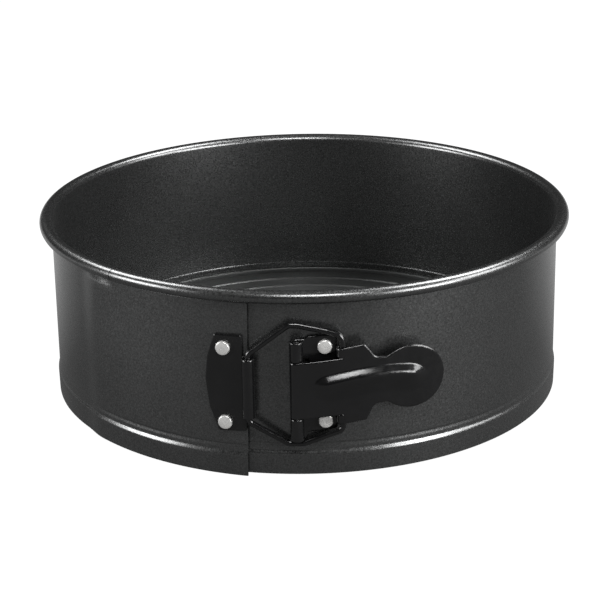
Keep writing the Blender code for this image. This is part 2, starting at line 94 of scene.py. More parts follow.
# The base.
BASE_SHEET = 0.8 * MM
BASE_FLOOR = 8.0 * MM
FLANGE_TOP = 10.0 * MM
FLANGE_STEP_R = 98.35 * MM
FLANGE_STEP_WIDTH = 0.5 * MM
FLANGE_START_R = 98.9 * MM
FLANGE_R = 99.6 * MM
FLANGE_ROUNDING = 0.3 * MM
BEADS = (79.6 * MM, 89.4 * MM)
BEAD_RISE = 0.6 * MM
BEAD_HALF_WIDTH = 1.1 * MM

# The clasp. An axis is its (s, off), and a span is its (low, high) in z.
HINGE = (-3.6 * MM, 3.2 * MM)
BAIL_ON_LEVER = (12.4 * MM, 3.5 * MM)
CATCH_TUBE = (-20.4 * MM, 3.9 * MM)
KNUCKLE_R = 2.5 * MM
KNUCKLE_SWEEP = 325.0
TUBE_R = 2.3 * MM
TUBE_SWEEP = 335.0
TUBE_SPAN = (23.4 * MM, 46.3 * MM)
LOWER_KNUCKLE = (14.8 * MM, 23.45 * MM)
LEVER_KNUCKLE = (23.75 * MM, 45.35 * MM)
UPPER_KNUCKLE = (45.65 * MM, 53.1 * MM)
PIN_R = 1.2 * MM
PIN_ROUNDING = 0.35 * MM
CATCH_SHEET = 0.9 * MM
CATCH_OFF = LAP_LIFT_AT_END + GAP
BRACKET_SHEET = 1.0 * MM
BRACKET_OFF = GAP
PLATE_SPACING = 0.55 * MM
EDGE = 0.16 * MM

# The lever. Its two curls hold the bail. Its rib runs along a bow with three control points in (s, z).
LEVER_SHEET = 0.9 * MM
LEVER_RISE = 0.15 * MM
TAB_RISE = 1.0 * MM
TAB_RISE_SPAN = (28.0 * MM, 50.0 * MM)
LEVER_CURLS = {"lower": (21.8 * MM, 25.2 * MM), "upper": (47.1 * MM, 50.5 * MM)}
LEVER_CURL_SWEEP = 300.0
TAB_CENTRE = (36.4 * MM, 37.5 * MM)
TAB_R = 11.95 * MM
RIB_PATH = ((7.4 * MM, 37.7 * MM), (23.5 * MM, 41.6 * MM), (36.0 * MM, 39.4 * MM))
RIB_HEIGHT = 1.9 * MM
RIB_ABOVE = 3.3 * MM
RIB_BELOW = 7.8 * MM
RIB_SOFTNESS = 0.22

# The bail.
WIRE_R = 1.15 * MM
WIRE_SIDES = 16

# The rivets, with their places in (s, z).
RIVET_R = 2.65 * MM
RIVET_HEIGHT = 1.6 * MM
RIVET_EDGE = 0.45 * MM
RIVET_CROWN = 0.22 * MM
RIVET_DIMPLE = 0.10 * MM
SHANK_R = 1.5 * MM
TAIL_R = 2.2 * MM
SUNK = 0.02 * MM
CATCH_RIVETS = ((-29.5 * MM, 49.4 * MM), (-29.3 * MM, 20.6 * MM))
BRACKET_RIVETS = ((6.4 * MM, 50.4 * MM), (6.5 * MM, 21.7 * MM))

# The floor glows: FLOOR_SEEN to the camera, and to the pan FLOOR_GLOW in front and FLOOR_BEHIND from
# FLOOR_BEHIND_Y on.
FLOOR_REACH = 6.0
FLOOR_CELLS = 24
FLOOR_COLOUR = (0.05, 0.05, 0.05)
FLOOR_GLOW = 0.09
FLOOR_BEHIND = 0.55
FLOOR_BEHIND_Y = 0.14
FLOOR_SEEN = 1.0

# The lights: each one's angle round from the front, angle up from the floor, size and power.
LIGHT_TARGET = (0.0, 0.0, 0.04)
LIGHT_DISTANCE = 1.0
LIGHTS = {
    "left_box": (-70, 13, (0.42, 0.42), 7.2),
    "right_box": (50, 13, (0.42, 0.42), 8.2),
    "right_side": (78, 24, (0.42, 0.42), 5.0),
    "left_back": (-120, 52, (0.42, 0.42), 7.0),
    "right_back": (112, 58, (0.42, 0.42), 9.0),
    "front_top": (6, 50, (0.34, 0.26), 5.4),
}
WORLD_STRENGTH = 0.01

CAMERA_PLACE = (-0.00024, -0.7638, 0.31273 + FOOT)
CAMERA_PITCH = 20.43
CAMERA_LEAN = -0.937
CAMERA_LENS = 117.96


# ---------------------------------------------------------------- places
def round_pan(angle, radius, z):
    """The point at an angle round the pan, a radius from its axis and a height above the band's edge."""
    turn = math.radians(angle)
    return Vector((radius * math.sin(turn), -radius * math.cos(turn), z + FOOT))


def on_wall(s, z, off):
    """The point at a place on the wall."""
    return round_pan(math.degrees(s / WALL_R), WALL_R + off, z)


def smooth(low, high, value):
    """0 up to low, 1 from high on, and an S-curve between them."""
    t = min(max((value - low) / (high - low), 0.0), 1.0)
    return t * t * (3.0 - 2.0 * t)


def evenly(start, end, steps):
    """Numbers from start to end, an even step apart."""
    return [start + (end - start) * k / steps for k in range(steps + 1)]


def arc(centre, radii, start, end, steps):
    """Points along a circle or ellipse, from one angle to another."""
    points = []
    for angle in evenly(start, end, steps):
        turn = math.radians(angle)
        points.append((centre[0] + radii[0] * math.cos(turn), centre[1] + radii[1] * math.sin(turn)))
    return points


def rounded(corners, radii, steps=5):
    """An outline with its corners rounded, each to its own radius."""
    points = []
    count = len(corners)
    for i, corner in enumerate(corners):
        here = Vector(corner)
        if not radii[i]:
            points.append(tuple(here))
            continue
        before = (Vector(corners[i - 1]) - here).normalized()
        after = (Vector(corners[(i + 1) % count]) - here).normalized()
        half = before.angle(after) / 2
        reach = radii[i] / math.tan(half)
        centre = here + (before + after).normalized() * radii[i] / math.sin(half)
        first = (here + before * reach - centre).normalized()
        last = (here + after * reach - centre).normalized()
        for k in range(steps + 1):
            points.append(tuple(centre + first.slerp(last, k / steps) * radii[i]))
    return points


# ---------------------------------------------------------------- meshes
def new_object(name, mesh, material):
    obj = bpy.data.objects.new(name, mesh)
    bpy.context.scene.collection.objects.link(obj)
    mesh.materials.append(material)
    return obj


def finish_mesh(name, builder, material, sharp=40.0):
    """The built mesh as an object, facing outwards, smooth but for edges over the sharp angle."""
    bmesh.ops.recalc_face_normals(builder, faces=builder.faces)
    if builder.calc_volume(signed=True) < 0:
        bmesh.ops.reverse_faces(builder, faces=builder.faces)
    mesh = bpy.data.meshes.new(name)
    builder.to_mesh(mesh)
    builder.free()
    mesh.shade_smooth()
    mesh.set_sharp_from_angle(angle=math.radians(sharp))
    return new_object(name, mesh, material)


def grid_sheet(name, place, rows, columns, keep, material):
    """A closed sheet over a grid.

    place(i, j) gives the middle surface, out to one row and column past each side, and keep(i, j) says
    which cells exist.
    """
    around = range(-1, columns + 1)
    here = np.array([[tuple(place(i, j)) for j in around] for i in range(-1, rows + 1)])
    along = here[1:-1, 2:] - here[1:-1, :-2]
    up = here[2:, 1:-1] - here[:-2, 1:-1]
    normal = np.cross(along, up)
    normal /= np.linalg.norm(normal, axis=2)[:, :, None]
    middle = here[1:-1, 1:-1]
    sides = (middle + normal * SHEET / 2, middle - normal * SHEET / 2)
    index = {}
    points = []
    normals = []

    def vert(side, i, j):
        key = (side, i, j)
        if key not in index:
            index[key] = len(points)
            points.append(sides[side][i, j])
        return index[key]

    cells = {(i, j) for i in range(rows - 1) for j in range(columns - 1) if keep(i, j)}
    faces = []
    for i, j in sorted(cells):
        ring = ((i, j), (i, j + 1), (i + 1, j + 1), (i + 1, j))
        faces.append([vert(0, *c) for c in ring])
        normals += [normal[c] for c in ring]
        faces.append([vert(1, *c) for c in ring[::-1]])
        normals += [-normal[c] for c in ring[::-1]]
        for n, step in enumerate(((-1, 0), (0, 1), (1, 0), (0, -1))):
            if (i + step[0], j + step[1]) in cells:
                continue
            a, b = ring[n], ring[(n + 1) % 4]
            quad = (vert(0, *b), vert(0, *a), vert(1, *a), vert(1, *b))
            faces.append(list(quad))
            p = [np.array(points[v]) for v in quad]
            flat = np.cross(p[1] - p[0], p[2] - p[0])
            flat /= max(np.linalg.norm(flat), 1e-12)
            normals += [flat] * 4
    mesh = bpy.data.meshes.new(name)
    mesh.from_pydata([tuple(p) for p in points], [], faces)
    mesh.update()
    mesh.shade_smooth()
    mesh.normals_split_custom_set([tuple(n) for n in normals])
    return new_object(name, mesh, material)


def turned(name, profile, place, axis, steps, material, sharp=40.0):
    """A solid of revolution from (radius, height) pairs that start and end on the axis."""
    builder = bmesh.new()
    verts = [builder.verts.new((radius, 0.0, height)) for radius, height in profile]
    edges = [builder.edges.new(pair) for pair in zip(verts, verts[1:])]
    bmesh.ops.spin(
        builder, geom=verts + edges, cent=(0, 0, 0), axis=(0, 0, 1), angle=2 * math.pi, steps=steps
    )
    bmesh.ops.remove_doubles(builder, verts=builder.verts, dist=1e-6)
    turn = Vector((0, 0, 1)).rotation_difference(axis).to_matrix().to_4x4()
    builder.transform(Matrix.Translation(place) @ turn)
    return finish_mesh(name, builder, material, sharp)


def inside(point, outline):
    """Whether a point lies within a closed outline."""
    x, y = point
    within = False
    for (ax, ay), (bx, by) in zip(outline, outline[1:] + outline[:1]):
        if (ay > y) != (by > y) and x < (bx - ax) * (y - ay) / (by - ay) + ax:
            within = not within
    return within


def clearances(points, outline):
    """The distance of many points to a closed outline."""
    p = np.array(points)[:, None, :]
    a = np.array(outline)[None, :, :]
    d = np.roll(np.array(outline), -1, axis=0)[None, :, :] - a
    share = np.clip(((p - a) * d).sum(2) / np.maximum((d * d).sum(2), 1e-18), 0, 1)
    return np.sqrt((((p - a) - share[:, :, None] * d) ** 2).sum(2)).min(1)


def finely(outline, spacing):
    """The outline with points added so that no side is longer than the spacing."""
    points = []
    for a, b in zip(outline, outline[1:] + outline[:1]):
        steps = max(1, math.ceil(math.dist(a, b) / spacing))
        for k in range(steps):
            points.append((a[0] + (b[0] - a[0]) * k / steps, a[1] + (b[1] - a[1]) * k / steps))
    return points


def inset(outline, distance):
    """Each point moved in from the edge, for an outline that runs anticlockwise."""
    points = []
    count = len(outline)
    for i in range(count):
        before = (Vector(outline[i]) - Vector(outline[i - 1])).normalized()
        after = (Vector(outline[(i + 1) % count]) - Vector(outline[i])).normalized()
        normal = Vector((-(before.y + after.y), before.x + after.x)).normalized()
        reach = distance / max(normal.dot(Vector((-before.y, before.x))), 0.5)
        points.append(tuple(Vector(outline[i]) + normal * reach))
    return points


def pressed(name, outline, spacing, thickness, surface, material, sharp=45.0):
    """A sheet cut to an outline, with eased edges. surface(u, z, out) gives a point beside its middle."""
    area = sum(a[0] * b[1] - b[0] * a[1] for a, b in zip(outline, outline[1:] + outline[:1]))
    if area < 0:
        outline = outline[::-1]
    outline = finely(outline, spacing)
    inner = inset(outline, EDGE)
    low, high = np.min(outline, axis=0), np.max(outline, axis=0)
    spots = []
    for row, z in enumerate(np.arange(low[1], high[1], spacing * 0.87)):
        for u in np.arange(low[0] + (row % 2) * spacing / 2, high[0], spacing):
            if inside((u, z), inner):
                spots.append((float(u), float(z)))
    far = clearances(spots, inner) > spacing * 0.45
    count = len(inner)
    flat = [Vector(p) / MM for p in inner + [s for s, ok in zip(spots, far) if ok]]
    edges = [(i, (i + 1) % count) for i in range(count)]
    made = delaunay_2d_cdt(flat, edges, [list(range(count))], 1, 1e-6)
    places = [p * MM for p in made[0]]
    builder = bmesh.new()
    half = thickness / 2
    top = [builder.verts.new(surface(p.x, p.y, half)) for p in places]
    bottom = [builder.verts.new(surface(p.x, p.y, -half)) for p in places]
    for triangle in made[2]:
        builder.faces.new([top[i] for i in triangle])
        builder.faces.new([bottom[i] for i in triangle[::-1]])
    rings = [[top[i] for i in range(count)]]
    for out in (half - EDGE, EDGE - half):
        rings.append([builder.verts.new(surface(u, z, out)) for u, z in outline])
    rings.append([bottom[i] for i in range(count)])
    for a, b in zip(rings, rings[1:]):
        for i in range(count):
            k = (i + 1) % count
            builder.faces.new((a[i], b[i], b[k], a[k]))
    return finish_mesh(name, builder, material, sharp)


def rolled(s, z, out, centre, radius, start, way):
    """A sheet rolled round a vertical axis: s runs on past the axis by the arc turned through."""
    turn = start + way * abs(s) / radius
    place = on_wall(centre[0], z, centre[1])
    outwards = (on_wall(centre[0], z, 1.0) - on_wall(centre[0], z, 0.0)).normalized()
    along = Vector((-outwards.y, outwards.x, 0.0))
    reach = radius + out
    return place + outwards * reach * math.cos(turn) + along * reach * math.sin(turn)


# ---------------------------------------------------------------- materials
class Nodes:
    """A new material and short ways to add nodes to it."""

    def __init__(self, name):
        self.material = bpy.data.materials.new(name)
        self.material.use_nodes = True
        self.tree = self.material.node_tree
        self.shader = self.tree.nodes["Principled BSDF"]
        self.place = self.add("ShaderNodeTexCoord").outputs["Object"]

    def add(self, kind, **settings):
        node = self.tree.nodes.new(kind)
        for key, value in settings.items():
            if hasattr(node, key):
                setattr(node, key, value)
            else:
                node.inputs[key.replace("_", " ")].default_value = value
        return node

    def link(self, output, target):
        self.tree.links.new(output, target)

    def noise(self, scale, detail=2.0, roughness=0.5):
        node = self.add("ShaderNodeTexNoise", Scale=scale, Detail=detail, Roughness=roughness)
        self.link(self.place, node.inputs["Vector"])
        return node.outputs["Fac"]

    def cells(self, scale):
        node = self.add("ShaderNodeTexVoronoi", Scale=scale)
        self.link(self.place, node.inputs["Vector"])
        return node

    def spread(self, value, low, high, to_low, to_high):
        node = self.add("ShaderNodeMapRange")
        self.link(value, node.inputs["Value"])
        limits = {"From Min": low, "From Max": high, "To Min": to_low, "To Max": to_high}
        for key, number in limits.items():
            node.inputs[key].default_value = number
        return node.outputs["Result"]

    def maths(self, operation, a, b):
        node = self.add("ShaderNodeMath")
        node.operation = operation
        for socket, value in zip(node.inputs, (a, b)):
            if isinstance(value, (int, float)):
                socket.default_value = value
            else:
                self.link(value, socket)
        return node.outputs[0]

    def tint(self, colour, value):
        """A colour made lighter or darker by a number."""
        node = self.add("ShaderNodeVectorMath")
        node.operation = "SCALE"
        node.inputs[0].default_value = colour[:3]
        self.link(value, node.inputs["Scale"])
        return node.outputs[0]

    def bump(self, height, distance, strength=1.0, under=None):
        node = self.add("ShaderNodeBump", Strength=strength, Distance=distance)
        self.link(height, node.inputs["Height"])
        if under:
            self.link(under, node.inputs["Normal"])
        return node.outputs["Normal"]


def coating(name, colour, roughness, grain, sparkle, metallic):
    """Grey non-stick coating: a fine mottle, scattered pale flakes and a little unevenness."""
    made = Nodes(name)
    fine = made.spread(made.noise(1700, 2.0, 0.6), 0.32, 0.68, 1 - grain, 1 + grain)
    broad = made.spread(made.noise(28, 2.0), 0.3, 0.7, 0.93, 1.07)
    flakes = made.cells(1300)
    fleck = made.spread(flakes.outputs["Color"], 0.85, 1.0, 0.0, sparkle)
    level = made.maths("ADD", made.maths("MULTIPLY", fine, broad), fleck)
    made.link(made.tint(colour, level), made.shader.inputs["Base Color"])
    gloss = made.spread(made.noise(1400, 2.0), 0.3, 0.7, roughness - 0.05, roughness + 0.06)
    made.link(gloss, made.shader.inputs["Roughness"])
    made.shader.inputs["Metallic"].default_value = metallic
    rough = made.bump(made.noise(1500, 2.0, 0.6), 0.02 * MM, 0.25)
    peel = made.bump(made.noise(240, 1.0), 0.02 * MM, 0.25, rough)
    made.link(peel, made.shader.inputs["Normal"])
    return made.material


def satin_black(name, colour, roughness, specular):
    """Smooth black coating with a slight orange peel and faint rubbed patches."""
    made = Nodes(name)
    level = made.spread(made.noise(60, 3.0, 0.6), 0.35, 0.65, 0.85, 1.2)
    made.link(made.tint(colour, level), made.shader.inputs["Base Color"])
    gloss = made.spread(made.noise(420, 3.0, 0.6), 0.3, 0.7, roughness - 0.04, roughness + 0.05)
    made.link(gloss, made.shader.inputs["Roughness"])
    made.shader.inputs["Specular IOR Level"].default_value = specular
    peel = made.bump(made.noise(900, 2.0), 0.01 * MM, 0.35)
    made.link(peel, made.shader.inputs["Normal"])
    return made.material


def bright_steel(name, colour, roughness):
    """Plain pressed steel with fine random scratches."""
    made = Nodes(name)
    level = made.spread(made.noise(700, 3.0, 0.6), 0.3, 0.7, 0.9, 1.08)
    made.link(made.tint(colour, level), made.shader.inputs["Base Color"])
    gloss = made.spread(made.noise(1600, 2.0), 0.3, 0.7, roughness - 0.06, roughness + 0.08)
    made.link(gloss, made.shader.inputs["Roughness"])
    made.shader.inputs["Metallic"].default_value = 0.5
    scratch = made.bump(made.noise(2600, 2.0), 0.01 * MM, 0.3)
    made.link(scratch, made.shader.inputs["Normal"])
    return made.material


BAND = coating(
    "band_coating", (0.130, 0.1315, 0.1315), roughness=0.28, grain=0.24, sparkle=0.10, metallic=0.93
)
BASE = coating(
    "base_coating", (0.060, 0.062, 0.061), roughness=0.4, grain=0.18, sparkle=0.06, metallic=0.7
)
BLACK = satin_black("clasp_black", (0.0040, 0.0040, 0.0042), roughness=0.2, specular=0.6)
STEEL = bright_steel("rivet_steel", (0.68, 0.675, 0.66), roughness=0.28)


# ---------------------------------------------------------------- the band
def band_line():
    """The middle of the strip's section, as (radius, height) from its foot up to the end of its curl."""
    wall = INSIDE_R + SHEET / 2
    line = []
    for height in evenly(0.0, SKIRT_TOP, 4)[:-1]:
        out = SKIRT_OUT_AT_FOOT + (SKIRT_OUT - SKIRT_OUT_AT_FOOT) * height / SKIRT_TOP
        line.append((wall + out, height))
    for height in evenly(SKIRT_TOP, STEP_TOP, 10):
        line.append((wall + SKIRT_OUT * (1 - smooth(SKIRT_TOP, STEP_TOP, height)), height))
    for height in evenly(CREASE_START, CREASE_END, 14):
        share = smooth(CREASE_START, CREASE_HEIGHT, height) - smooth(CREASE_HEIGHT, CREASE_END, height)
        line.append((wall - CREASE_DEPTH * share, height))
    line += [(wall, height * MM) for height in (16, 22, 28, 34, 40, 46, 52, 57, 61, 63)]
    # The rows are closer together round the slit.
    line += [(wall, LAP_TOP + step * MM) for step in (-2.7, -1.9, -1.2, -0.6, 0.0, 0.6, 1.4)]
    half_width = (RIM_R - wall - SHEET / 2) / 2
    centre = (RIM_R - SHEET / 2 - half_width, PAN_HEIGHT - CURL_HEIGHT / 2)
    radii = (half_width, CURL_HEIGHT / 2 - SHEET / 2)
    return line + arc(centre, radii, 180, 180 - CURL_SWEEP, 32)


LINE = band_line()
CUT_ROW = min(i for i, p in enumerate(LINE) if p[1] > LAP_TOP + 0.01 * MM) - 1


def lapped(angle, radius, z, row):
    """The free end rides over the inner end; its curl stays in line with the rim until it stops."""
    late = smooth(CURL_CUT - CURL_TURN, CURL_CUT, angle)
    below_curl = 1 - smooth(*LAP_EASE, z)
    share = max(below_curl, late) if row <= CUT_ROW else below_curl
    lift = LAP_LIFT * smooth(LAP_START, LAP_FULL, angle) * share
    lift += (LAP_LIFT_AT_END - LAP_LIFT) * smooth(LAP_FULL, OUTER_END, angle)
    along = min(max((angle - LAP_FULL) / (OUTER_END - LAP_FULL), 0.0), 1.0)
    lean = math.radians(LEAN) * (z - PAN_HEIGHT / 2) / WALL_R
    dropped = DROP * along * (1 - smooth(*DROP_EASE, z))
    return angle + math.degrees(lean) * along**4, radius + lift, z - dropped


def band_piece(name, angles, free=False):
    """The strip between its first and last angles. Only the free end has the lap and the slit."""
    step_before = angles[0] - (angles[1] - angles[0])
    step_after = angles[-1] + (angles[-1] - angles[-2])
    stretched = [step_before] + list(angles) + [step_after]

    def place(i, j):
        row = min(max(i, 0), len(LINE) - 1)
        radius, z = LINE[row]
        if i < 0:
            z -= 0.5 * MM
        if i >= len(LINE):
            before = LINE[-2]
            radius, z = 2 * radius - before[0], 2 * z - before[1]
        angle = stretched[j + 1]
        if free:
            angle, radius, z = lapped(angle, radius, z, row)
        return round_pan(angle, radius, z)

    def keep(i, j):
        return not free or i < CUT_ROW or angles[j + 1] <= CURL_CUT + 1e-6

    piece = grid_sheet(name, place, len(LINE), len(angles), keep, BAND)
    return piece


def steps_between(start, end, step):
    """Angles from start to end, about a step apart."""
    return evenly(start, end, max(1, round((end - start) / step)))


def make_band():
    """Three lengths of strip, meeting at 120 and 240 degrees and left where they are built."""
    right_seam, left_seam = 120.0, 240.0
    front = band_piece("band_front_skin", steps_between(INNER_END, right_seam, 1.0))
    back = band_piece("band_back_skin", steps_between(right_seam, left_seam, 1.0))
    left = steps_between(left_seam - 360, CURL_CUT, 1.0)[:-1]
    left += steps_between(CURL_CUT, OUTER_END, 0.8)
    free = band_piece("band_free_skin", left, free=True)
    for piece, a, b, start, end in (
        (front, "ring", "arc_right", 54.0, 114.0),
        (back, "arc_right", "arc_left", 174.0, 234.0),
        (free, "arc_left", "free_end", 294.0, 337.0),
    ):
        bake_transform(piece)
    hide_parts("band_front")
    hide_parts("band_right")
    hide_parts("band_left", "band_free_end")


# ---------------------------------------------------------------- the base
def make_base():
    """A thin round plate with two beads and a raised flange."""
    line = [(radius, BASE_FLOOR) for radius in (0.0, 20 * MM, 50 * MM)]
    for radius in BEADS:
        for share in evenly(-1.0, 1.0, 16):
            rise = BEAD_RISE * math.cos(share * math.pi / 2) ** 2
            line.append((radius + share * BEAD_HALF_WIDTH, BASE_FLOOR + rise))
    step = (FLANGE_STEP_WIDTH, FLANGE_TOP - BASE_FLOOR)
    line += arc((FLANGE_STEP_R, BASE_FLOOR), step, 180, 90, 12)
    line += [(FLANGE_START_R, FLANGE_TOP), (FLANGE_R, FLANGE_TOP)]
    points = [Vector(p) for p in line]
    under = []
    for i, point in enumerate(points):
        direction = (points[min(i + 1, len(points) - 1)] - points[max(i - 1, 0)]).normalized()
        normal = Vector((direction.y, -direction.x))
        under.append(point + normal * BASE_SHEET if i else point - Vector((0, BASE_SHEET)))
    edge_centre = (FLANGE_R, FLANGE_TOP - BASE_SHEET / 2)
    rim = arc(edge_centre, (FLANGE_ROUNDING, BASE_SHEET / 2), 70, -70, 6)
    profile = [(r, z + FOOT) for r, z in line + rim + [tuple(p) for p in under[::-1]]]
    base = turned("base_skin", profile, Vector(), Vector((0, 0, 1)), 240, BASE)
    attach(base, "base")
    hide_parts("base_plate")


# ---------------------------------------------------------------- the clasp
def make_rivet(name, s, z, seat, tail, body, node):
    """A crowned head with a shallow dimple, on a shank with a wider tail if it ends inside the pan."""
    side = RIVET_HEIGHT - RIVET_CROWN - RIVET_EDGE
    head = [(RIVET_R * 0.94, -SUNK), (RIVET_R, 0.12 * MM), (RIVET_R, side)]
    head += arc((RIVET_R - RIVET_EDGE, side), (RIVET_EDGE, RIVET_EDGE), 15, 75, 4)
    for share in (0.8, 0.6, 0.4, 0.26, 0.17, 0.08, 0.0):
        dimple = RIVET_DIMPLE * (1 - smooth(0.05, 0.25, share))
        crown = RIVET_CROWN * (1 - share * share)
        head.append(((RIVET_R - RIVET_EDGE) * share, side + RIVET_EDGE + crown - dimple))
    depth = seat - tail
    foot = [(0.0, -depth), (SHANK_R, -depth)]
    if tail < -SHEET:
        neck = seat + SHEET + GAP
        foot = [
            (0.0, -depth),
            (TAIL_R - 0.2 * MM, -depth),
            (TAIL_R, -depth + 0.15 * MM),
            (TAIL_R, -neck),
            (SHANK_R, -neck),
        ]
    outwards = (on_wall(s, z, 1.0) - on_wall(s, z, 0.0)).normalized()
    profile = foot + [(SHANK_R, -SUNK)] + head
    piece = turned(name, profile, on_wall(s, z, seat), outwards, 40, STEEL, 50.0)
    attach(piece, body)
    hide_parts(node)


def make_catch():
    """The plate on the free end, rolled into the tube that the bail hooks through."""
    s, off = CATCH_TUBE
    low, high = TUBE_SPAN
    middle = CATCH_OFF + CATCH_SHEET / 2
    radius = TUBE_R - CATCH_SHEET / 2
    length = math.radians(TUBE_SWEEP) * radius
    ease = 4.0 * MM
    outline = rounded(
        [
            (-32.9 * MM, 54.1 * MM),
            (-22.8 * MM, 54.4 * MM),
            (-22.5 * MM, high),
            (s + length, high),
            (s + length, low),
            (-21.9 * MM, low),
            (-21.6 * MM, 17.3 * MM),
            (-31.9 * MM, 16.8 * MM),
            (-35.3 * MM, 26.0 * MM),
            (-36.6 * MM, 36.5 * MM),
            (-35.6 * MM, 46.0 * MM),
        ],
        [m * MM for m in (0.8, 0.8, 0.5, 0.3, 0.3, 0.5, 0.8, 0.8, 12, 12, 12)],
    )

    def surface(u, z, out):
        if u > s:
            return rolled(u - s, z, -out, CATCH_TUBE, radius, math.pi, -1)
        level = middle + (off - radius - middle) * smooth(s - ease, s, u)
        return on_wall(u, z, level + out)

    plate = pressed("catch_skin", outline, PLATE_SPACING, CATCH_SHEET, surface, BLACK)
    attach(plate, "free_end")
    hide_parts("catch_plate")
    seat = CATCH_OFF + CATCH_SHEET + GAP / 3
    tail = LAP_LIFT - SHEET * 0.9
    for word, place in zip(("upper", "lower"), CATCH_RIVETS):
        make_rivet(f"catch_head_{word}", *place, seat, tail, "free_end", f"catch_rivet_{word}")


def make_bracket():
    """The plate on the ring, with the two outer knuckles and the pin through them."""
    s, off = HINGE
    radius = KNUCKLE_R - BRACKET_SHEET / 2
    start = s - math.radians(KNUCKLE_SWEEP) * radius
    middle = BRACKET_OFF + BRACKET_SHEET / 2
    ease = 4.5 * MM
    outline = rounded(
        [
            (start, UPPER_KNUCKLE[1]),
            (start, UPPER_KNUCKLE[0]),
            (1.0 * MM, UPPER_KNUCKLE[0]),
            (1.0 * MM, LOWER_KNUCKLE[1]),
            (start, LOWER_KNUCKLE[1]),
            (start, LOWER_KNUCKLE[0]),
            (-0.6 * MM, LOWER_KNUCKLE[0]),
            (0.6 * MM, 17.2 * MM),
            (10.9 * MM, 18.1 * MM),
            (10.9 * MM, 54.9 * MM),
            (0.6 * MM, 54.2 * MM),
            (-0.6 * MM, UPPER_KNUCKLE[1]),
        ],
        [m * MM for m in (0.3, 0.3, 0.6, 0.6, 0.3, 0.3, 0.6, 0.6, 1.2, 1.2, 0.6, 0.6)],
    )

    def surface(u, z, out):
        if u < s:
            return rolled(s - u, z, -out, HINGE, radius, math.pi, 1)
        level = middle + (off - radius - middle) * (1 - smooth(s, s + ease, u))
        return on_wall(u, z, level + out)

    plate = pressed("bracket_skin", outline, PLATE_SPACING, BRACKET_SHEET, surface, BLACK)
    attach(plate, "ring")
    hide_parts("hinge_bracket")
    length = UPPER_KNUCKLE[1] - LOWER_KNUCKLE[0]
    flat, round_end = PIN_R - PIN_ROUNDING, (PIN_ROUNDING, PIN_ROUNDING)
    pin = [(0.0, 0.0), (flat, 0.0)]
    pin += arc((flat, PIN_ROUNDING), round_end, -60, 0, 3)
    pin += arc((flat, length - PIN_ROUNDING), round_end, 0, 60, 3)
    pin += [(flat, length), (0.0, length)]
    piece = turned("pin_skin", pin, on_wall(s, LOWER_KNUCKLE[0], off), Vector((0, 0, 1)), 28, BLACK)
    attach(piece, "ring")
    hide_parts("hinge_pin")
    seat = BRACKET_OFF + BRACKET_SHEET + GAP / 3
    tail = -SHEET - GAP - 0.5 * MM
    for word, place in zip(("upper", "lower"), BRACKET_RIVETS):
        make_rivet(f"bracket_head_{word}", *place, seat, tail, "ring", f"bracket_rivet_{word}")


def ramp(t, soft):
    """0 to 1 along an even slope, eased in and out over a soft share of its length at each end."""
    t = min(max(t, 0.0), 1.0)
    if t < soft:
        return t * t / (2 * soft * (1 - soft))
    if t > 1 - soft:
        return 1 - (1 - t) ** 2 / (2 * soft * (1 - soft))
    return (t - soft / 2) / (1 - soft)


def rib_height(s, z):
    """The pressed rib: steep along its top and easing off below, along a shallow bow."""
    (ax, ay), (bx, by), (cx, cy) = RIB_PATH
    nearest = None
    for t in evenly(0.0, 1.0, 32):
        x = (1 - t) ** 2 * ax + 2 * t * (1 - t) * bx + t * t * cx
        y = (1 - t) ** 2 * ay + 2 * t * (1 - t) * by + t * t * cy
        distance = math.hypot(s - x, z - y)
        if nearest is None or distance < nearest[0]:
            nearest = (distance, z - y)
    distance, above = nearest
    rising = 0.5 + 0.5 * (above / distance if distance > 1e-9 else 0.0)
    width = RIB_BELOW + (RIB_ABOVE - RIB_BELOW) * smooth(0, 1, rising)
    return RIB_HEIGHT * (1 - ramp(distance / width, RIB_SOFTNESS))


def lever_level(s, z):
    """How far out the middle of the lever's sheet stands."""
    level = HINGE[1] + KNUCKLE_R - LEVER_SHEET / 2
    level += LEVER_RISE * smooth(HINGE[0], BAIL_ON_LEVER[0], s)
    level += TAB_RISE * smooth(*TAB_RISE_SPAN, s)
    return level + rib_height(s, z)


